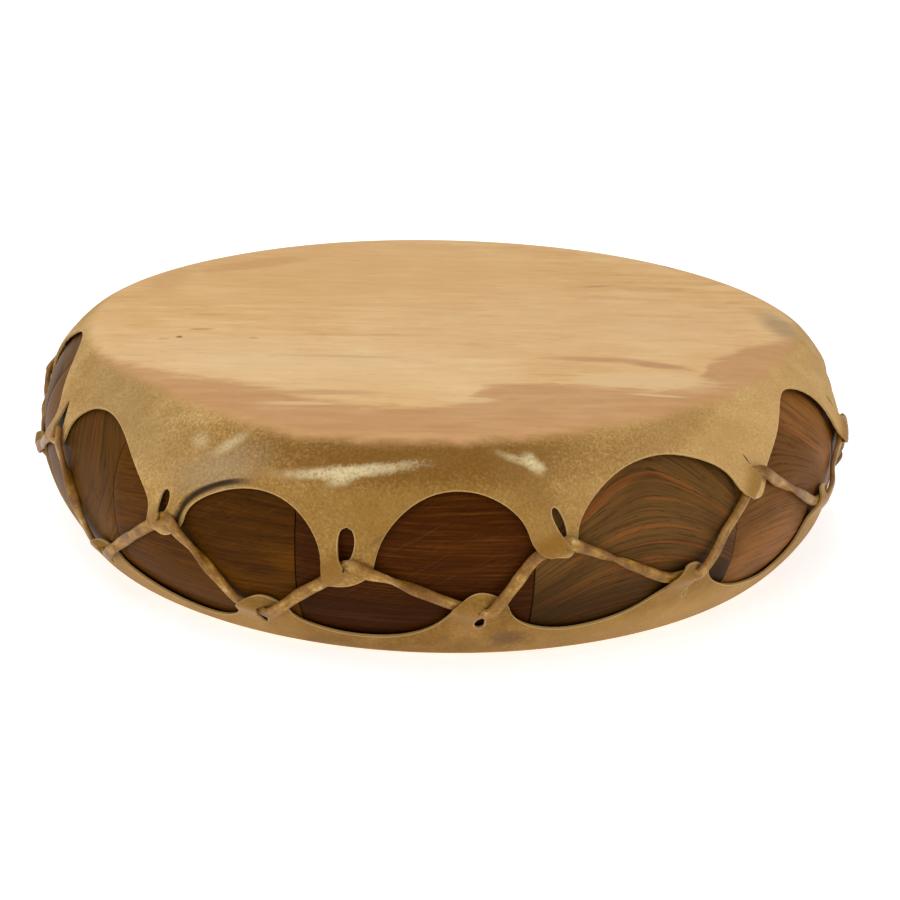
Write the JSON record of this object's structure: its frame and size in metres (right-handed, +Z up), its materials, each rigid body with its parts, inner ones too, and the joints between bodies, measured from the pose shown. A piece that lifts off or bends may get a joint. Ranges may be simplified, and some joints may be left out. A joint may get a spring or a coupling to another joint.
{
  "type": "double-headed rawhide hand drum",
  "caption": "Round hand drum: a bulging ring of mitred wooden staves with a rawhide head laced over each side by one zigzag thong through scalloped tabs.",
  "frame": {"origin": "middle of the underside, on the flat of the lower head", "axes": "+Z up through the middle of both heads, and -Y towards the viewer of the picture"},
  "size_m": [0.4134, 0.4121, 0.0948],
  "materials": {
    "stave_wood": "dark hardwood, oiled to a satin",
    "rawhide": "dried rawhide, smooth on the face and grainy on the sides",
    "thong_hide": "twisted wet and dried hard, slightly glossy"
  },
  "bodies": {
    "root": {"stave_01": "stave_wood", "stave_02": "stave_wood", "stave_03": "stave_wood", "stave_04": "stave_wood", "stave_05": "stave_wood", "stave_06": "stave_wood", "stave_07": "stave_wood", "stave_08": "stave_wood", "stave_09": "stave_wood", "stave_10": "stave_wood", "stave_11": "stave_wood", "stave_12": "stave_wood", "stave_13": "stave_wood", "top_head": "rawhide", "bottom_head": "rawhide", "lacing_thong": "thong_hide"}
  },
  "joints": []
}
